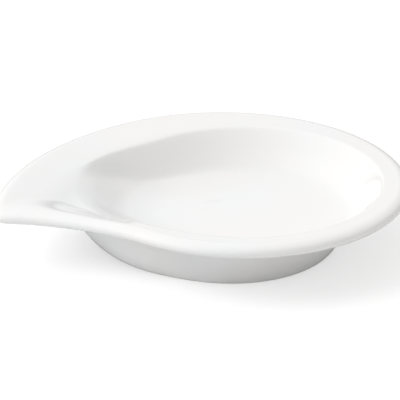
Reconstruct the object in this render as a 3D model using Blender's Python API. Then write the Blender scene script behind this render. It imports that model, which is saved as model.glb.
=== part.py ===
"""Teardrop dish: a small shallow porcelain dish, shaped and fired as one piece.

In plan it is a round bowl whose rim sweeps out on one side to a rounded tip.
A softly crowned land runs round the rim. Towards the tip it widens to a wing
that slopes into the well, with a raised roll along the hollow neck.
+Z is up, the table is z = 0, the tip points to -X, and the origin is on the
table, in the middle of the dish's length and width. Lengths are in metres.
"""
import math

import bpy
import numpy as np

MM = 0.001

# The rim's outer edge in plan: arcs that run on from each other round the bowl's centre.
BOWL_RADIUS = 49.7 * MM
SWEEP_RADIUS = 56.0 * MM
BROAD_RADIUS = 81.4 * MM
NECK_RADIUS = 85.7 * MM
TIP_RADIUS = 5.6 * MM
BOWL_START = math.radians(-141.3)
SWEEP_START = math.radians(-8.6)
BROAD_START = math.radians(105.7)

# Heights above the table.
CREST_HEIGHT = 20.0 * MM
EDGE_HEIGHT = 18.0 * MM
UNDERSIDE_HEIGHT = 15.8 * MM
WALL_TOP_HEIGHT = 14.9 * MM
FLOOR_HEIGHT = 8.0 * MM
RECESS_HEIGHT = 2.8 * MM

# Fall of the land for each metre inwards, round the bowl and on the wing.
LAND_FALL = 0.055
WING_FALL = 0.158
LAND_BEND = 12.0

# The wall below the rim, and the foot.
BASE_RADIUS = 32.0 * MM
BASE_SHIFT = 3.9 * MM
BASE_SHIFT_DIRECTION = math.radians(159.4)
WALL_TOP_RADIUS = 37.7 * MM
WALL_REACH = 20.0 * MM
WALL_FLARE = 0.32
FOOT_WIDTH = 2.6 * MM

# Points along each arc of a ring.
BOWL_STEPS = 26
SWEEP_STEPS = 22
BROAD_STEPS = 14
TIP_STEPS = 7
NECK_STEPS = 15
WING_START = BOWL_STEPS + SWEEP_STEPS
NECK_START = WING_START + BROAD_STEPS + TIP_STEPS
RING_POINTS = NECK_START + NECK_STEPS


def direction(angle):
    """Unit vector in plan."""
    return np.array([math.cos(angle), math.sin(angle)])


def angle_of(vector):
    """Angle of a plan vector, from 0 to a full turn."""
    return math.atan2(vector[1], vector[0]) % math.tau


def smooth_step(start, end, value):
    """0 before start, 1 after end, with a soft change between."""
    part = np.clip((value - start) / (end - start), 0, 1)
    return part * part * (3 - 2 * part)


SWEEP_CENTRE = (BOWL_RADIUS - SWEEP_RADIUS) * direction(SWEEP_START)
BROAD_CENTRE = SWEEP_CENTRE + (SWEEP_RADIUS - BROAD_RADIUS) * direction(BROAD_START)
NECK_CENTRE = (BOWL_RADIUS + NECK_RADIUS) * direction(BOWL_START)
NECK_PARTS = np.arange(NECK_STEPS) / NECK_STEPS     # 0 at the tip, 1 where the bowl starts


def arc(centre, radius, start, end, steps):
    """Points of an arc from start up to, but without, end; the radius may change along it."""
    angles = np.linspace(start, end, steps, endpoint=False)
    radii = np.ones(steps) * radius
    return centre + np.column_stack([radii * np.cos(angles), radii * np.sin(angles)])


def rim_ring(inset, tip_radius, neck_inset=None):
    """The rim's outline, inset: bowl, sweep, broad sweep, tip and hollow neck."""
    if neck_inset is None:
        neck_inset = np.full(NECK_STEPS, inset)
    # The tip's arc touches the broad sweep from inside and the neck's arc from outside.
    to_broad = BROAD_RADIUS - inset - tip_radius
    to_neck = NECK_RADIUS + neck_inset[0] + tip_radius
    line = NECK_CENTRE - BROAD_CENTRE
    length = np.linalg.norm(line)
    line = line / length
    along = (to_broad**2 - to_neck**2 + length**2) / (2 * length)
    across = math.sqrt(to_broad**2 - along**2)
    tip_centre = BROAD_CENTRE + along * line + across * np.array([line[1], -line[0]])
    tip_start = angle_of(tip_centre - BROAD_CENTRE)
    tip_end = angle_of(NECK_CENTRE - tip_centre)
    neck_start = angle_of(tip_centre - NECK_CENTRE)
    neck_end = angle_of(-NECK_CENTRE)
    return np.vstack([
        arc((0, 0), BOWL_RADIUS - inset, BOWL_START, SWEEP_START, BOWL_STEPS),
        arc(SWEEP_CENTRE, SWEEP_RADIUS - inset, SWEEP_START, BROAD_START, SWEEP_STEPS),
        arc(BROAD_CENTRE, BROAD_RADIUS - inset, BROAD_START, tip_start, BROAD_STEPS),
        arc(tip_centre, tip_radius, tip_start, tip_end, TIP_STEPS),
        arc(NECK_CENTRE, NECK_RADIUS + neck_inset, neck_start, neck_end, NECK_STEPS),
    ])


EDGE = rim_ring(0, TIP_RADIUS)
EDGE_ANGLES = np.unwrap(np.arctan2(EDGE[:, 1], EDGE[:, 0]))
EDGE_REACH = np.linalg.norm(EDGE, axis=1) - BOWL_RADIUS

# The spokes crowd together at the tip, and fan out evenly before they meet the well.
FAN_MIDDLE = math.radians(158)
FAN_ANGLES = EDGE_ANGLES.copy()
FAN_ANGLES[WING_START:NECK_START] = np.linspace(
    EDGE_ANGLES[WING_START], FAN_MIDDLE, NECK_START - WING_START, endpoint=False)
FAN_ANGLES[NECK_START:] = np.linspace(
    FAN_MIDDLE, BOWL_START + math.tau, NECK_STEPS, endpoint=False)
FULL_FAN = FAN_ANGLES % math.tau


def ramp(start, full=157):
    """How far a spoke belongs to the ramp up to the wing: 0 before start, 1 on it, 0 past the neck."""
    return (smooth_step(math.radians(start), math.radians(full), FULL_FAN)
            * (1 - smooth_step(math.radians(196), math.radians(228), FULL_FAN)))


# The outline's arc that each spoke starts from, without the neck.
ARC_CENTRES = np.vstack([np.zeros((BOWL_STEPS, 2)), np.tile(SWEEP_CENTRE, (SWEEP_STEPS, 1)),
                         np.tile(BROAD_CENTRE, (RING_POINTS - WING_START, 1))])
ARC_RADII = np.repeat([BOWL_RADIUS, SWEEP_RADIUS, BROAD_RADIUS],
                      [BOWL_STEPS, SWEEP_STEPS, RING_POINTS - WING_START])


def land_height(ring):
    """The land falls inwards from the crest at one slope; past the bead the neck's spokes follow the neck."""
    outline_inset = ARC_RADII - np.linalg.norm(ring - ARC_CENTRES, axis=1)
    neck_inset = np.linalg.norm(ring - NECK_CENTRE, axis=1) - NECK_RADIUS
    share = np.zeros(RING_POINTS)
    share[NECK_START:] = smooth_step(0.42, 0.8, NECK_PARTS)
    inset = outline_inset + (neck_inset - outline_inset) * share
    wide = np.clip(outline_inset - 12 * MM, 0, 9 * MM) * (1 - share)
    fall = LAND_FALL + (WING_FALL - LAND_FALL) * ramp(105, 150)
    return CREST_HEIGHT - 0.08 * MM - fall * (inset - 4 * MM) - LAND_BEND * wide**2


def well_outline(radius, reach, start, shift=0):
    """A circle that reaches out to the wing from the angle start on, and draws in again at the neck."""
    rise = smooth_step(math.radians(start), math.radians(155), FULL_FAN)
    draw_in = 1 - 0.68 * smooth_step(math.radians(166), math.radians(188), FULL_FAN)
    end = 1 - smooth_step(math.radians(198), math.radians(226), FULL_FAN)
    radii = radius + reach * rise * draw_in * end + shift * np.cos(FAN_ANGLES - BASE_SHIFT_DIRECTION)
    return radii[:, None] * np.column_stack([np.cos(FAN_ANGLES), np.sin(FAN_ANGLES)])


def raised(ring, height):
    """A ring of plan points at one height, or at a height for each point."""
    return np.column_stack([ring, np.ones(len(ring)) * height])


def between(first, second, part, bulge=0):
    """The ring a part of the way from one ring to the next, raised by bulge."""
    ring = first + (second - first) * part
    ring[:, 2] += bulge
    return ring


def top_rings():
    """From just inside the edge, over the land and the wing, to the middle of the floor."""
    roll_inset = (2.6 + 2.4 * (1 - smooth_step(0.3, 0.9, NECK_PARTS))) * MM
    valley_part = smooth_step(-0.25, 0.3, NECK_PARTS) * (1 - smooth_step(0.38, 0.85, NECK_PARTS))
    valley_inset = 4 * MM + 13.6 * MM * valley_part
    crest = raised(rim_ring(2.6 * MM, 2.2 * MM, roll_inset), CREST_HEIGHT)
    valley_plan = rim_ring(4 * MM, 0.8 * MM, valley_inset)
    shoulder_plan = well_outline(41.8 * MM, 8.5 * MM, 109)
    valley = raised(valley_plan, land_height(valley_plan))
    land = [valley_plan + (shoulder_plan - valley_plan) * part for part in (0.35, 0.7)]
    shoulder_height = land_height(shoulder_plan)

    def well_ring(ring, wall_part, ramp_part, start):
        """A ring of the well, one part of the way down on the wall and another on the ramp."""
        down = wall_part + (ramp_part - wall_part) * ramp(start)
        return raised(ring, shoulder_height + (FLOOR_HEIGHT - shoulder_height) * down)

    return [
        raised(rim_ring(0.3 * MM, TIP_RADIUS - 0.3 * MM), EDGE_HEIGHT + 0.9 * MM),
        raised(rim_ring(1.1 * MM, TIP_RADIUS - 1.1 * MM), EDGE_HEIGHT + 1.6 * MM),
        crest,
        between(crest, valley, 0.5, 0.03 * MM),
        valley,
        *[raised(ring, land_height(ring)) for ring in land],
        raised(shoulder_plan, shoulder_height),
        well_ring(well_outline(41.0 * MM, 8.4 * MM, 108), 0.065, 0.04, 143),
        well_ring(well_outline(38.9 * MM, 8.2 * MM, 106), 0.30, 0.14, 141),
        well_ring(well_outline(37.0 * MM, 7.9 * MM, 104), 0.53, 0.26, 137),
        well_ring(well_outline(35.2 * MM, 7.5 * MM, 101, 0.2 * MM), 0.71, 0.40, 131),
        well_ring(well_outline(33.3 * MM, 7.0 * MM, 97, 0.4 * MM), 0.875, 0.54, 123),
        well_ring(well_outline(31.4 * MM, 6.4 * MM, 92, 0.8 * MM), 0.96, 0.68, 117),
        well_ring(well_outline(28.3 * MM, 5.6 * MM, 86, 1.4 * MM), 0.99, 0.85, 112),
        well_ring(well_outline(22 * MM, 4.0 * MM, 80, 1.7 * MM), 0.997, 0.975, 108),
        well_ring(well_outline(15 * MM, 2.4 * MM, 70, 1.4 * MM), 1, 1, 104),
        raised(well_outline(8 * MM, 1.2 * MM, 60, 0.9 * MM), FLOOR_HEIGHT),
    ]


def wall_ring(height, inset=0):
    """The outside of the wall at a height: straight round the bowl, flaring out under the wing."""
    part = height / WALL_TOP_HEIGHT
    least_flare = 0.02
    flare = max(part, least_flare)**WALL_FLARE
    turns = np.radians(np.linspace(-24, 24, 9))
    rim = np.mean([np.interp(FAN_ANGLES + turn, EDGE_ANGLES, EDGE_REACH, period=math.tau)
                   for turn in turns], axis=0)
    push = flare * WALL_REACH * rim / (WALL_REACH**3 + rim**3)**(1 / 3)
    radii = (BASE_RADIUS + (WALL_TOP_RADIUS - BASE_RADIUS) * part - inset + push
             + BASE_SHIFT * (1 - part) * np.cos(FAN_ANGLES - BASE_SHIFT_DIRECTION))
    plan = radii[:, None] * np.column_stack([np.cos(FAN_ANGLES), np.sin(FAN_ANGLES)])
    return raised(plan, height)


def foot_ring(inset, height):
    """A ring inside the base's outline."""
    ring = wall_ring(0, inset)
    ring[:, 2] = height
    return ring


def underside_rings():
    """From the middle of the recess, over the foot and up the wall, to just inside the edge."""
    lip = raised(rim_ring(3 * MM, TIP_RADIUS - 3 * MM), UNDERSIDE_HEIGHT)
    wall_top = wall_ring(WALL_TOP_HEIGHT)
    return [
        foot_ring(BASE_RADIUS * 0.6, RECESS_HEIGHT),
        foot_ring(FOOT_WIDTH + 2.2 * MM, RECESS_HEIGHT),
        foot_ring(FOOT_WIDTH + 1.0 * MM, RECESS_HEIGHT - 0.3 * MM),
        foot_ring(FOOT_WIDTH + 0.5 * MM, 0.5 * MM),
        foot_ring(FOOT_WIDTH + 0.15 * MM, 0.08 * MM),
        foot_ring(FOOT_WIDTH - 0.4 * MM, 0),
        foot_ring(0.9 * MM, 0),
        foot_ring(0.25 * MM, 0.1 * MM),
        *[wall_ring(height * MM) for height in (0.6, 1.6, 3.5, 6, 9, 12, 14)],
        between(wall_top, lip, 0.1, 0.1 * MM),
        between(wall_top, lip, 0.4, 0.2 * MM),
        between(wall_top, lip, 0.7, 0.1 * MM),
        lip,
        raised(rim_ring(1.2 * MM, TIP_RADIUS - 1.2 * MM), UNDERSIDE_HEIGHT + 0.4 * MM),
        raised(rim_ring(0.35 * MM, TIP_RADIUS - 0.35 * MM), UNDERSIDE_HEIGHT + 1.2 * MM),
    ]


def close_ends_and_skin(rings, bottom_middle, top_middle):
    """Vertices and faces of a closed skin through the rings, with a point at each end."""
    count = len(rings[0])
    vertices = [bottom_middle, *np.vstack(rings), top_middle]
    faces = []
    for step in range(count):
        after = (step + 1) % count
        faces.append((0, 1 + after, 1 + step))
        for ring in range(len(rings) - 1):
            low = 1 + ring * count
            high = low + count
            faces.append((low + step, low + after, high + after, high + step))
        last = 1 + (len(rings) - 1) * count
        faces.append((last + step, last + after, len(vertices) - 1))
    return vertices, faces


def glaze():
    """White glazed porcelain."""
    material = bpy.data.materials.new("white_glaze")
    material.use_nodes = True
    shader = material.node_tree.nodes["Principled BSDF"]
    shader.inputs["Base Color"].default_value = (0.86, 0.86, 0.84, 1)
    shader.inputs["Roughness"].default_value = 0.12
    shader.inputs["Metallic"].default_value = 0
    return material


def make_dish():
    """The dish as one closed solid, with its box's middle at x = y = 0."""
    middle = (EDGE.min(axis=0) + EDGE.max(axis=0)) / 2
    to_origin = np.array([-middle[0], -middle[1], 0])
    rings = underside_rings() + [raised(EDGE, EDGE_HEIGHT)] + top_rings()
    rings = [ring + to_origin for ring in rings]
    floor_middle = rings[-1].mean(axis=0)
    recess_middle = rings[0].mean(axis=0)
    vertices, faces = close_ends_and_skin(rings, recess_middle, floor_middle)
    mesh = bpy.data.meshes.new("dish")
    mesh.from_pydata([tuple(map(float, vertex)) for vertex in vertices], [], faces)
    mesh.shade_smooth()
    mesh.materials.append(glaze())
    dish = bpy.data.objects.new("dish", mesh)
    bpy.context.scene.collection.objects.link(dish)
    return dish


for old in list(bpy.data.objects):
    bpy.data.objects.remove(old, do_unlink=True)
make_dish()
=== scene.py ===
import math

import bmesh
import bpy
import numpy as np
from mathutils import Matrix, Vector


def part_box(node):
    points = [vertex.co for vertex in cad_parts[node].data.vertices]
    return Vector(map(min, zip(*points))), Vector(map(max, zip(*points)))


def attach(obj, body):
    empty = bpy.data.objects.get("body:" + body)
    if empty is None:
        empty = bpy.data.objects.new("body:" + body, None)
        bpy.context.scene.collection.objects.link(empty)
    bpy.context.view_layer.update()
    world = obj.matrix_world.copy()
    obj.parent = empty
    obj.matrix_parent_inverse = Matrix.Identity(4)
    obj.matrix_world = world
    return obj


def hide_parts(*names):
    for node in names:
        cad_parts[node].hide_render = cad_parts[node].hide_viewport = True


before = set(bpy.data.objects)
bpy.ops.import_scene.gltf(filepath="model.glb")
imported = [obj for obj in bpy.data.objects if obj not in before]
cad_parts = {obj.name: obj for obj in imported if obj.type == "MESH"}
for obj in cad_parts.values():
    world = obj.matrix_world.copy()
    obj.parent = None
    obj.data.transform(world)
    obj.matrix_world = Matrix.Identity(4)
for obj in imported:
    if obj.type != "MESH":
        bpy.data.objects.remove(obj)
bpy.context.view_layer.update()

# ---------------------------------------------------------------------------
# The dish. One body of white hotel porcelain, pressed in a mould, trimmed and
# sponged, dipped in clear gloss glaze and fired standing on its foot, whose
# resting face is wiped bare first. The glaze is fused on, so it is one piece.
# ---------------------------------------------------------------------------
MM = 0.001
DISH_LOW, DISH_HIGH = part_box("dish")

# The rim's outer edge in plan: five arcs that run on from each other. The plan's origin
# is the bowl's centre, and each start is a direction from the arc's own centre.
BOWL_RADIUS = 49.7 * MM
SWEEP_RADIUS = 56.0 * MM
BROAD_RADIUS = 81.4 * MM
NECK_RADIUS = 85.7 * MM
TIP_RADIUS = 5.6 * MM
BOWL_START = math.radians(-141.3)
SWEEP_START = math.radians(-8.6)
BROAD_START = math.radians(105.7)

# Heights above the table.
CREST_HEIGHT = DISH_HIGH.z
EDGE_HEIGHT = CREST_HEIGHT - 2.0 * MM
UNDERSIDE_HEIGHT = CREST_HEIGHT - 4.2 * MM
WALL_TOP_HEIGHT = CREST_HEIGHT - 5.1 * MM
FLOOR_HEIGHT = 8.0 * MM
RECESS_HEIGHT = 2.8 * MM

# Points along each arc of a ring.
BOWL_STEPS = 26
SWEEP_STEPS = 22
BROAD_STEPS = 14
TIP_STEPS = 7
NECK_STEPS = 15
WING_START = BOWL_STEPS + SWEEP_STEPS
NECK_START = WING_START + BROAD_STEPS + TIP_STEPS
RING_POINTS = NECK_START + NECK_STEPS


def direction(angle):
    """Unit vector in plan."""
    return np.array([math.cos(angle), math.sin(angle)])


def angle_of(vector):
    """Angle of a plan vector, from 0 to a full turn."""
    return math.atan2(vector[1], vector[0]) % math.tau


def smooth_step(start, end, value):
    """0 before start, 1 after end, with a soft change between."""
    part = np.clip((value - start) / (end - start), 0, 1)
    return part * part * (3 - 2 * part)


def turn_step(start, end, angles):
    """A smooth step between two directions from the bowl's centre, in degrees."""
    return smooth_step(math.radians(start), math.radians(end), angles)


SWEEP_CENTRE = (BOWL_RADIUS - SWEEP_RADIUS) * direction(SWEEP_START)
BROAD_CENTRE = SWEEP_CENTRE + (SWEEP_RADIUS - BROAD_RADIUS) * direction(BROAD_START)
NECK_CENTRE = (BOWL_RADIUS + NECK_RADIUS) * direction(BOWL_START)
NECK_PARTS = np.arange(NECK_STEPS) / NECK_STEPS     # 0 at the tip, 1 where the bowl starts


def arc(centre, radius, start, end, steps):
    """Points of an arc from start up to, but without, end; the radius may change along it."""
    angles = np.linspace(start, end, steps, endpoint=False)
    radii = np.ones(steps) * radius
    return centre + np.column_stack([radii * np.cos(angles), radii * np.sin(angles)])


def rim_ring(inset, tip_radius, neck_inset=None):
    """The rim's outline, inset: bowl, sweep, broad sweep, tip and hollow neck."""
    if neck_inset is None:
        neck_inset = np.full(NECK_STEPS, inset)
    # The tip's arc touches the broad sweep from inside and the neck's arc from outside.
    to_broad = BROAD_RADIUS - inset - tip_radius
    to_neck = NECK_RADIUS + neck_inset[0] + tip_radius
    line = NECK_CENTRE - BROAD_CENTRE
    length = np.linalg.norm(line)
    line = line / length
    along = (to_broad**2 - to_neck**2 + length**2) / (2 * length)
    across = math.sqrt(to_broad**2 - along**2)
    tip_centre = BROAD_CENTRE + along * line + across * np.array([line[1], -line[0]])
    tip_start = angle_of(tip_centre - BROAD_CENTRE)
    tip_end = angle_of(NECK_CENTRE - tip_centre)
    neck_start = angle_of(tip_centre - NECK_CENTRE)
    neck_end = angle_of(-NECK_CENTRE)
    return np.vstack([
        arc((0, 0), BOWL_RADIUS - inset, BOWL_START, SWEEP_START, BOWL_STEPS),
        arc(SWEEP_CENTRE, SWEEP_RADIUS - inset, SWEEP_START, BROAD_START, SWEEP_STEPS),
        arc(BROAD_CENTRE, BROAD_RADIUS - inset, BROAD_START, tip_start, BROAD_STEPS),
        arc(tip_centre, tip_radius, tip_start, tip_end, TIP_STEPS),
        arc(NECK_CENTRE, NECK_RADIUS + neck_inset, neck_start, neck_end, NECK_STEPS),
    ])


EDGE = rim_ring(0, TIP_RADIUS)
EDGE_ANGLES = np.unwrap(np.arctan2(EDGE[:, 1], EDGE[:, 0]))
EDGE_REACH = np.linalg.norm(EDGE, axis=1) - BOWL_RADIUS

# The rings' points lie on spokes. These crowd together at the tip's edge, and are
# spread evenly where they reach the well, with the tip's end at FAN_MIDDLE.
FAN_MIDDLE = math.radians(158)
FAN_ANGLES = EDGE_ANGLES.copy()
FAN_ANGLES[WING_START:NECK_START] = np.linspace(
    EDGE_ANGLES[WING_START], FAN_MIDDLE, NECK_START - WING_START, endpoint=False)
FAN_ANGLES[NECK_START:] = np.linspace(
    FAN_MIDDLE, BOWL_START + math.tau, NECK_STEPS, endpoint=False)
FULL_FAN = FAN_ANGLES % math.tau


def ramp(start, full=157, angles=FULL_FAN):
    """The ramp up to the wing: 0 before start, 1 from full on, and 0 again past the neck."""
    return turn_step(start, full, angles) * (1 - turn_step(196, 228, angles))


# The outline's arc that each spoke starts from, without the neck.
ARC_CENTRES = np.vstack([np.zeros((BOWL_STEPS, 2)), np.tile(SWEEP_CENTRE, (SWEEP_STEPS, 1)),
                         np.tile(BROAD_CENTRE, (RING_POINTS - WING_START, 1))])
ARC_RADII = np.repeat([BOWL_RADIUS, SWEEP_RADIUS, BROAD_RADIUS],
                      [BOWL_STEPS, SWEEP_STEPS, RING_POINTS - WING_START])

# The crest is rolled, and the land is the rim's flat top inside it. The land falls this
# much for each metre inwards, more on the wing, where its inner part also bends down.
CREST_INSET = 2.6 * MM
LAND_INSET = 4 * MM
LAND_START_HEIGHT = CREST_HEIGHT - 0.08 * MM
LAND_FALL = 0.055
WING_FALL = 0.158
LAND_BEND = 12.0
BEND_INSET = 12 * MM
BEND_WIDTH = 9 * MM


def land_height(ring):
    """Height of the land on a ring; past the valley the neck's spokes count from the neck's edge."""
    outline_inset = ARC_RADII - np.linalg.norm(ring - ARC_CENTRES, axis=1)
    neck_inset = np.linalg.norm(ring - NECK_CENTRE, axis=1) - NECK_RADIUS
    share = np.zeros(RING_POINTS)
    share[NECK_START:] = smooth_step(0.42, 0.8, NECK_PARTS)
    inset = outline_inset + (neck_inset - outline_inset) * share
    wide = np.clip(outline_inset - BEND_INSET, 0, BEND_WIDTH) * (1 - share)
    point_angles = np.arctan2(ring[:, 1], ring[:, 0]) % math.tau
    fall = LAND_FALL + (WING_FALL - LAND_FALL) * ramp(105, 150, point_angles)
    return LAND_START_HEIGHT - fall * (inset - LAND_INSET) - LAND_BEND * wide**2


# The wall narrows from the rim down to the base, and the base lies off the bowl's centre,
# towards the wing. The floor's rings are shifted the same way.
BASE_RADIUS = 32.0 * MM
BASE_SHIFT = 3.9 * MM
BASE_SHIFT_DIRECTION = math.radians(159.4)


def well_outline(radius, reach, start, shift=0):
    """A circle that reaches out to the wing from the angle start on, and draws in again at the neck."""
    draw_in = 0.68
    wing_part = (turn_step(start, 155, FULL_FAN)
                 * (1 - draw_in * turn_step(166, 188, FULL_FAN))
                 * (1 - turn_step(198, 226, FULL_FAN)))
    radii = radius + reach * wing_part + shift * np.cos(FAN_ANGLES - BASE_SHIFT_DIRECTION)
    return radii[:, None] * np.column_stack([np.cos(FAN_ANGLES), np.sin(FAN_ANGLES)])


def raised(ring, height):
    """A ring of plan points at one height, or at a height for each point."""
    return np.column_stack([ring, np.ones(len(ring)) * height])


def between(first, second, part, bulge=0):
    """The ring a part of the way from one ring to the next, raised by bulge."""
    ring = first + (second - first) * part
    ring[:, 2] += bulge
    return ring


# The rings from the shoulder of the well to the flat of the floor. In plan: the radius, the
# reach to the wing, the direction where that starts, and the shift. In height: the part of
# the way down on the wall, the same on the ramp, and the direction where the ramp starts.
# Lengths are in millimetres and directions in degrees.
WELL_RINGS = [
    (41.0, 8.4, 108, 0.0, 0.065, 0.04, 143),
    (38.9, 8.2, 106, 0.0, 0.30, 0.14, 141),
    (37.0, 7.9, 104, 0.0, 0.53, 0.26, 137),
    (35.2, 7.5, 101, 0.2, 0.71, 0.40, 131),
    (33.3, 7.0, 97, 0.4, 0.875, 0.54, 123),
    (31.4, 6.4, 92, 0.8, 0.96, 0.68, 117),
    (28.3, 5.6, 86, 1.4, 0.99, 0.85, 112),
    (22.0, 4.0, 80, 1.7, 0.997, 0.975, 108),
    (15.0, 2.4, 70, 1.4, 1, 1, 104),
]


def well_ring(shoulder_height, radius, reach, start, shift, wall_part, ramp_part, ramp_start):
    """One ring of the well, below the shoulder."""
    plan = well_outline(radius * MM, reach * MM, start, shift * MM)
    down = wall_part + (ramp_part - wall_part) * ramp(ramp_start)
    return raised(plan, shoulder_height + (FLOOR_HEIGHT - shoulder_height) * down)


def top_rings():
    """From just inside the edge, over the land and the wing, to the middle of the floor."""
    # Along the neck the roll is wider, a bead, and a valley lies behind it. Both run out.
    roll_inset = CREST_INSET + 2.4 * MM * (1 - smooth_step(0.3, 0.9, NECK_PARTS))
    valley_part = smooth_step(-0.25, 0.3, NECK_PARTS) * (1 - smooth_step(0.38, 0.85, NECK_PARTS))
    valley_inset = LAND_INSET + 13.6 * MM * valley_part
    crest = raised(rim_ring(CREST_INSET, 2.2 * MM, roll_inset), CREST_HEIGHT)
    valley_plan = rim_ring(LAND_INSET, 0.8 * MM, valley_inset)
    shoulder_plan = well_outline(41.8 * MM, 8.5 * MM, 109)
    valley = raised(valley_plan, land_height(valley_plan))
    land = [valley_plan + (shoulder_plan - valley_plan) * part for part in (0.18, 0.38, 0.58, 0.8)]
    shoulder_height = land_height(shoulder_plan)
    return [
        raised(rim_ring(0.3 * MM, TIP_RADIUS - 0.3 * MM), EDGE_HEIGHT + 0.9 * MM),
        raised(rim_ring(1.1 * MM, TIP_RADIUS - 1.1 * MM), EDGE_HEIGHT + 1.6 * MM),
        crest,
        between(crest, valley, 0.5, 0.03 * MM),
        valley,
        *[raised(ring, land_height(ring)) for ring in land],
        raised(shoulder_plan, shoulder_height),
        *[well_ring(shoulder_height, *sizes) for sizes in WELL_RINGS],
        raised(well_outline(8 * MM, 1.2 * MM, 60, 0.9 * MM), FLOOR_HEIGHT),
    ]


# The outside of the wall, and the foot it stands on.
WALL_TOP_RADIUS = 37.7 * MM
WALL_REACH = 20.0 * MM
WALL_FLARE = 0.32
FOOT_WIDTH = 2.6 * MM


def wall_ring(height, inset=0):
    """The wall at a height: straight round the bowl, and flaring out under the wing."""
    part = height / WALL_TOP_HEIGHT
    least_part = 0.02
    flare = max(part, least_part)**WALL_FLARE
    # The wall follows the rim's reach past the bowl, averaged over 24 degrees each way, and
    # it comes no further out than WALL_REACH.
    turns = np.radians(np.linspace(-24, 24, 9))
    rim = np.mean([np.interp(FAN_ANGLES + turn, EDGE_ANGLES, EDGE_REACH, period=math.tau)
                   for turn in turns], axis=0)
    push = flare * WALL_REACH * rim / (WALL_REACH**3 + rim**3)**(1 / 3)
    radii = (BASE_RADIUS + (WALL_TOP_RADIUS - BASE_RADIUS) * part - inset + push
             + BASE_SHIFT * (1 - part) * np.cos(FAN_ANGLES - BASE_SHIFT_DIRECTION))
    plan = radii[:, None] * np.column_stack([np.cos(FAN_ANGLES), np.sin(FAN_ANGLES)])
    return raised(plan, height)


def foot_ring(inset, height):
    """A ring inside the base's outline."""
    ring = wall_ring(0, inset)
    ring[:, 2] = height
    return ring


def underside_rings():
    """From the middle of the recess, over the foot and up the wall, to just inside the edge."""
    lip = raised(rim_ring(3 * MM, TIP_RADIUS - 3 * MM), UNDERSIDE_HEIGHT)
    wall_top = wall_ring(WALL_TOP_HEIGHT)
    return [
        foot_ring(BASE_RADIUS * 0.6, RECESS_HEIGHT),
        foot_ring(FOOT_WIDTH + 2.2 * MM, RECESS_HEIGHT),
        foot_ring(FOOT_WIDTH + 1.0 * MM, RECESS_HEIGHT - 0.3 * MM),
        foot_ring(FOOT_WIDTH + 0.5 * MM, 0.5 * MM),
        foot_ring(FOOT_WIDTH + 0.15 * MM, 0.08 * MM),
        foot_ring(FOOT_WIDTH - 0.4 * MM, 0),
        foot_ring(0.9 * MM, 0),
        foot_ring(0.25 * MM, 0.1 * MM),
        *[wall_ring(height * MM) for height in (0.6, 1.6, 3.5, 6, 9, 12, 14)],
        between(wall_top, lip, 0.1, 0.1 * MM),
        between(wall_top, lip, 0.4, 0.2 * MM),
        between(wall_top, lip, 0.7, 0.1 * MM),
        lip,
        raised(rim_ring(1.2 * MM, TIP_RADIUS - 1.2 * MM), UNDERSIDE_HEIGHT + 0.4 * MM),
        raised(rim_ring(0.35 * MM, TIP_RADIUS - 0.35 * MM), UNDERSIDE_HEIGHT + 1.2 * MM),
    ]


# The bowl's centre is where it puts the edge's outline in the middle of the CAD box.
EDGE_MIDDLE = (EDGE.min(axis=0) + EDGE.max(axis=0)) / 2
BOWL_CENTRE = (DISH_LOW + DISH_HIGH) / 2 - Vector((*EDGE_MIDDLE, 0))
BOWL_CENTRE.z = 0
RINGS = [ring + np.array(BOWL_CENTRE)
         for ring in underside_rings() + [raised(EDGE, EDGE_HEIGHT)] + top_rings()]

# A circle of points is laid on the first ring and extruded from ring to ring, and its
# ends are closed. A number on each point keeps it on its own spoke.
bpy.ops.object.select_all(action="DESELECT")
bpy.ops.mesh.primitive_circle_add(vertices=RING_POINTS, radius=BASE_RADIUS, fill_type="NOTHING")
dish = bpy.context.object
dish.name = "porcelain_dish"
dish.data.name = "porcelain_dish"
bpy.ops.object.mode_set(mode="EDIT")
bpy.ops.mesh.select_mode(type="EDGE")
bpy.ops.mesh.select_all(action="SELECT")
skin = bmesh.from_edit_mesh(dish.data)
spoke = skin.verts.layers.int.new("spoke")
for number, point in enumerate(skin.verts):
    point[spoke] = number


def lay(ring):
    """Puts the selected points on a ring, each on its own spoke."""
    points = bmesh.from_edit_mesh(dish.data)
    number = points.verts.layers.int["spoke"]
    for chosen in points.verts:
        if chosen.select:
            chosen.co = ring[chosen[number]]
    bmesh.update_edit_mesh(dish.data)


def close_end(ring):
    """Fans the selected ring in to its middle."""
    bpy.ops.mesh.extrude_edges_move()
    lay(np.repeat([ring.mean(axis=0)], RING_POINTS, axis=0))
    bpy.ops.mesh.merge(type="CENTER")


lay(RINGS[0])
for ring in RINGS[1:]:
    bpy.ops.mesh.extrude_edges_move()
    lay(ring)
close_end(RINGS[-1])
bpy.ops.mesh.select_mode(type="EDGE")
bpy.ops.mesh.select_all(action="DESELECT")
bpy.ops.mesh.select_non_manifold()
close_end(RINGS[0])
bpy.ops.mesh.select_mode(type="VERT")
bpy.ops.mesh.select_all(action="SELECT")
bpy.ops.mesh.normals_make_consistent(inside=False)
bpy.ops.object.mode_set(mode="OBJECT")
dish.data.attributes.remove(dish.data.attributes["spoke"])
rounding = dish.modifiers.new("rounding", "SUBSURF")
rounding.levels = 2
rounding.render_levels = 2
bpy.ops.object.modifier_apply(modifier=rounding.name)
bpy.ops.object.shade_smooth()
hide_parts("dish")
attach(dish, "root")


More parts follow.
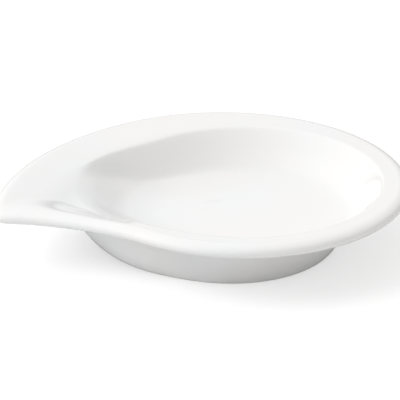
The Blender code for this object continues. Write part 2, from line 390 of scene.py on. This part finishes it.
class Signal:
    """A socket of a node tree, for writing shader maths as expressions."""

    def __init__(self, tree, socket=None):
        self.tree = tree
        self.socket = socket

    def node(self, kind, settings, sockets, output=0):
        """A new node: its settings first, then values or signals for its sockets."""
        made = self.tree.nodes.new(kind)
        for name, value in settings.items():
            setattr(made, name, value)
        for name, value in sockets.items():
            if isinstance(value, Signal):
                self.tree.links.new(value.socket, made.inputs[name])
            else:
                made.inputs[name].default_value = value
        return Signal(self.tree, made.outputs[output])

    def maths(self, operation, *values):
        """A node that works on one or two numbers."""
        return self.node("ShaderNodeMath", {"operation": operation}, dict(enumerate(values)))

    def __add__(self, other):
        return self.maths("ADD", self, other)

    __radd__ = __add__

    def __sub__(self, other):
        return self.maths("SUBTRACT", self, other)

    def __rsub__(self, other):
        return self.maths("SUBTRACT", other, self)

    def __mul__(self, other):
        return self.maths("MULTIPLY", self, other)

    __rmul__ = __mul__

    def __truediv__(self, other):
        return self.maths("DIVIDE", self, other)

    def noise(self, size, detail):
        """Cloudy noise from 0 to 1 at this place; its patches measure about size."""
        return self.node("ShaderNodeTexNoise", {"noise_dimensions": "3D"},
                         {"Vector": self, "Scale": 1 / size, "Detail": detail})

    def step(self, start, end):
        """0 before start and 1 after end, with a soft change between."""
        return self.node("ShaderNodeMapRange", {"interpolation_type": "SMOOTHSTEP"},
                         {"Value": self, "From Min": start, "From Max": end})

    def blend(self, first, second):
        """From one colour at 0 to another at 1."""
        return self.node("ShaderNodeMix", {"data_type": "RGBA"}, {0: self, 6: first, 7: second}, 2)

    def from_middle(self, middle, size):
        """This place, counted from a middle, in steps of size."""
        moved = self.node("ShaderNodeVectorMath", {"operation": "SUBTRACT"}, {0: self, 1: middle})
        return self.node("ShaderNodeVectorMath", {"operation": "DIVIDE"}, {0: moved, 1: size})

    def length(self):
        """How long a vector is."""
        return self.node("ShaderNodeVectorMath", {"operation": "LENGTH"}, {0: self}, "Value")

    def feed(self, socket):
        """Joins this signal to a socket."""
        self.tree.links.new(self.socket, socket)


# The fired glaze, a cool or warm white over the body, and the bare body under the foot.
GLAZE_WARM = (0.872, 0.862, 0.850, 1)
GLAZE_COOL = (0.860, 0.866, 0.868, 1)
GLAZE_POOLED = (0.838, 0.846, 0.842, 1)
GLAZE_SPECK = (0.50, 0.44, 0.36, 1)
GLAZE_ROLL = (0.74, 0.66, 0.54, 1)
BARE_BODY = (0.80, 0.765, 0.70, 1)
BARE_GRIT = (0.66, 0.62, 0.56, 1)

glaze = bpy.data.materials.new("white_glaze")
glaze.use_nodes = True
dish.data.materials.append(glaze)
shader = glaze.node_tree.nodes["Principled BSDF"]
glaze_nodes = Signal(glaze.node_tree)
place = glaze_nodes.node("ShaderNodeTexCoord", {}, {}, "Object")
height = glaze_nodes.node("ShaderNodeSeparateXYZ", {}, {"Vector": place}, "Z")
# Heights are divided away here, which leaves the distance from the bowl's upright axis.
from_axis = place.from_middle(BOWL_CENTRE, (1, 1, 1000)).length()
clouds = place.noise(34 * MM, 2)
ripple = place.noise(6 * MM, 2)
grain = place.noise(0.5 * MM, 3)

# The glaze ran down the wall and lies thicker in the corner of the well.
in_well = 1 - from_axis.step(32 * MM, 35 * MM)
pooled = in_well * height.step(8.1 * MM, 8.6 * MM) * (1 - height.step(9 * MM, 11 * MM))
# A dull rub mark near the middle of the floor, where another dish stood in the stack.
rub_middle = BOWL_CENTRE + Vector((-5.6, 11.3, 0)) * MM
rub_size = (4.2 * MM, 1.9 * MM, 1)
rubbed = (1 - place.from_middle(rub_middle, rub_size).length().step(0.2, 1)) * in_well
# Pinholes and specks, far apart.
cell = place.node("ShaderNodeTexVoronoi", {"feature": "F1"}, {"Vector": place, "Scale": 1 / (7 * MM)})
speck_size = place.noise(19 * MM, 1).step(0.55, 0.8) * 0.022
least_speck = 0.0001
speck = 1 - (cell / (speck_size + least_speck)).step(0.6, 1)
# The resting face of the foot is bare; the glaze stops at its edge in a low roll.
foot_line = height + (ripple - 0.5) * (0.12 * MM)
bare = 1 - foot_line.step(0.10 * MM, 0.16 * MM)
roll = foot_line.step(0.08 * MM, 0.18 * MM) * (1 - foot_line.step(0.22 * MM, 0.55 * MM))

colour = clouds.step(0.3, 0.7).blend(GLAZE_COOL, GLAZE_WARM)
colour = (pooled * 0.5).blend(colour, GLAZE_POOLED)
colour = (rubbed * 0.05).blend(colour, GLAZE_SPECK)
colour = (speck * 0.35).blend(colour, GLAZE_SPECK)
colour = (roll * 0.45).blend(colour, GLAZE_ROLL)
colour = bare.blend(colour, grain.step(0.62, 0.75).blend(BARE_BODY, BARE_GRIT))
colour.feed(shader.inputs["Base Color"])
gloss = 0.055 + clouds * 0.03 + grain.step(0.5, 0.8) * 0.02 + rubbed * 0.12 + speck * 0.1
(gloss + (0.78 - gloss) * bare).feed(shader.inputs["Roughness"])
# The relief is in metres: a faint ripple in the glaze, grit on the bare face, and pits.
relief = ripple * (16e-6 * (1 - bare)) + grain * (14e-6 * bare) - speck * 30e-6
bump = glaze_nodes.node("ShaderNodeBump", {}, {"Strength": 1, "Distance": 1, "Height": relief})
bump.feed(shader.inputs["Normal"])

# ---------------------------------------------------------------------------
# The table top. A large sheet of matt white board, which the dish only stands
# on. The camera sees it nearly pure white, with soft shadows, and to the dish
# it is a plain pale surface.
# ---------------------------------------------------------------------------
bpy.ops.mesh.primitive_plane_add(size=6, location=(0, 0, 0))
table_top = bpy.context.object
table_top.name = "table_top"
board = bpy.data.materials.new("table_white")
board.use_nodes = True
board_shader = board.node_tree.nodes["Principled BSDF"]
board_shader.inputs["Roughness"].default_value = 0.9
board_shader.inputs["Specular IOR Level"].default_value = 0
board_shader.inputs["Emission Strength"].default_value = 1
seen = Signal(board.node_tree).node("ShaderNodeLightPath", {}, {}, "Is Camera Ray")
seen.blend((0.84, 0.84, 0.84, 1), (0.5, 0.5, 0.5, 1)).feed(board_shader.inputs["Base Color"])
seen.blend((0, 0, 0, 1), (0.55, 0.55, 0.55, 1)).feed(board_shader.inputs["Emission Color"])
table_top.data.materials.append(board)

# ---------------------------------------------------------------------------
# The lamps and the room. A broad soft box hangs high on the left, with a thin
# strip lamp nearer the camera and a white card low on the right. The white room
# is brighter at the far left and above, and darker near the table's level.
# ---------------------------------------------------------------------------
VIEW_TURN = math.radians(18.6)
VIEW_RISE = math.radians(23.64)
LAMP_DISTANCE = 1.4
across_view = Vector((math.cos(VIEW_TURN), -math.sin(VIEW_TURN), 0))
along_view = Vector((math.sin(VIEW_TURN), math.cos(VIEW_TURN), 0))
up = Vector((0, 0, 1))
rim_middle = BOWL_CENTRE + up * EDGE_HEIGHT


def lamp(name, turn, rise, size, power):
    """A soft lamp that faces the dish; turn 0 is to the camera's right, and 90 is beyond the dish."""
    lamp_data = bpy.data.lights.new(name, "AREA")
    lamp_data.shape = "RECTANGLE"
    lamp_data.size, lamp_data.size_y = size
    lamp_data.energy = power
    made = bpy.data.objects.new(name, lamp_data)
    bpy.context.scene.collection.objects.link(made)
    turn = math.radians(turn)
    rise = math.radians(rise)
    toward = (across_view * math.cos(turn) + along_view * math.sin(turn)) * math.cos(rise)
    made.location = rim_middle + (toward + up * math.sin(rise)) * LAMP_DISTANCE
    made.rotation_euler = (rim_middle - made.location).to_track_quat("-Z", "Y").to_euler()
    return made


key = lamp("key_lamp", 198, 42, (0.7, 0.6), 8.0)
key.visible_glossy = False
lamp("front_lamp", 212, 36, (0.9, 0.05), 1.0)
fill = lamp("fill_card", 322, 4, (0.6, 0.3), 1.0)
fill.visible_glossy = False

world = bpy.data.worlds.new("room")
bpy.context.scene.world = world
world.use_nodes = True
room = world.node_tree.nodes["Background"]
outward = Signal(world.node_tree).node("ShaderNodeTexCoord", {}, {}, "Generated")
lighter_side = along_view * 0.6 - across_view * 0.5 + up * 0.62
toward_light = outward.node("ShaderNodeVectorMath", {"operation": "DOT_PRODUCT"},
                            {0: outward, 1: lighter_side}, "Value")
upward = outward.node("ShaderNodeSeparateXYZ", {}, {"Vector": outward}, "Z")
strength = (toward_light * 0.30 + 0.66) * (upward.step(0.07, 0.2) * 0.68 + 0.32)
strength.feed(room.inputs["Strength"])
room.inputs["Color"].default_value = (1, 1, 1, 1)

# ---------------------------------------------------------------------------
# The camera. A long lens on a stand in front of the table, which looks down at
# the rim of the bowl. It is aimed a little left of it and below, so that the
# dish fills the view from its tip to the far side of the bowl.
# ---------------------------------------------------------------------------
CAMERA_DISTANCE = 0.6
AIM_LEFT = 12.95 * MM
AIM_DOWN = 5.2 * MM
camera_data = bpy.data.cameras.new("camera")
camera_data.lens = 180
camera_data.sensor_width = 36
camera = bpy.data.objects.new("camera", camera_data)
bpy.context.scene.collection.objects.link(camera)
back = up * math.sin(VIEW_RISE) - along_view * math.cos(VIEW_RISE)
camera.location = rim_middle + back * CAMERA_DISTANCE
picture_up = up * math.cos(VIEW_RISE) + along_view * math.sin(VIEW_RISE)
aim = rim_middle - across_view * AIM_LEFT - picture_up * AIM_DOWN
camera.rotation_mode = "QUATERNION"
camera.rotation_quaternion = (aim - camera.location).to_track_quat("-Z", "Y")
bpy.context.scene.camera = camera
bpy.context.scene.view_settings.view_transform = "Standard"
